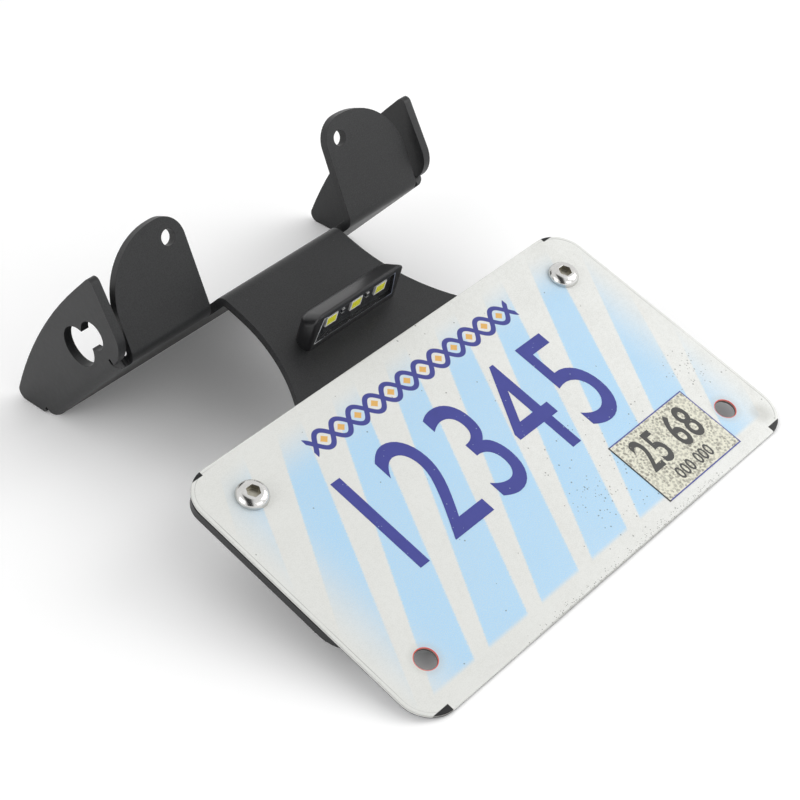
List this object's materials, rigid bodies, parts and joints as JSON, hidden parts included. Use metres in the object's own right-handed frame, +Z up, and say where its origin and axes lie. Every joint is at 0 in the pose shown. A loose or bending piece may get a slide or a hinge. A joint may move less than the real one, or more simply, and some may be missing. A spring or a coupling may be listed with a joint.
{
  "type": "tail tidy",
  "caption": "Folded black sheet bracket with fixing tabs and keyholed indicator ears, carrying a motorbike number plate and a slim lamp above it.",
  "frame": {"origin": "under the middle of the part's width and length, on the table it rests on", "axes": "+X along the number plate to the viewer's right as the plate is read, +Y from the plate's lower edge back towards the indicator ears, +Z up"},
  "size_m": [0.178, 0.1938, 0.0736],
  "materials": {
    "black_coat": "satin powder coat",
    "plate_sheet": "white reflective sheeting with printed figures",
    "sticker": "printed vinyl",
    "screw_steel": "plain stainless",
    "lamp_black": "satin black",
    "lamp_clear": "clear",
    "board": "dark solder mask",
    "led_white": "white",
    "led_yellow": "yellow gel",
    "resistor": "dark",
    "dark_screw": "blackened",
    "grommet": "black rubber"
  },
  "bodies": {
    "root": {"bracket": "black_coat", "number_plate": "plate_sheet", "registration_sticker": "sticker", "plate_screws": "screw_steel", "plate_washers": "screw_steel", "plate_nuts": "screw_steel", "lamp_housing": "lamp_black", "lamp_lens": "lamp_clear", "lamp_circuit_board": "board", "led_packages": "led_white", "led_phosphors": "led_yellow", "lamp_resistors": "resistor", "lamp_screws": "dark_screw", "cable_grommet": "grommet"}
  },
  "joints": []
}
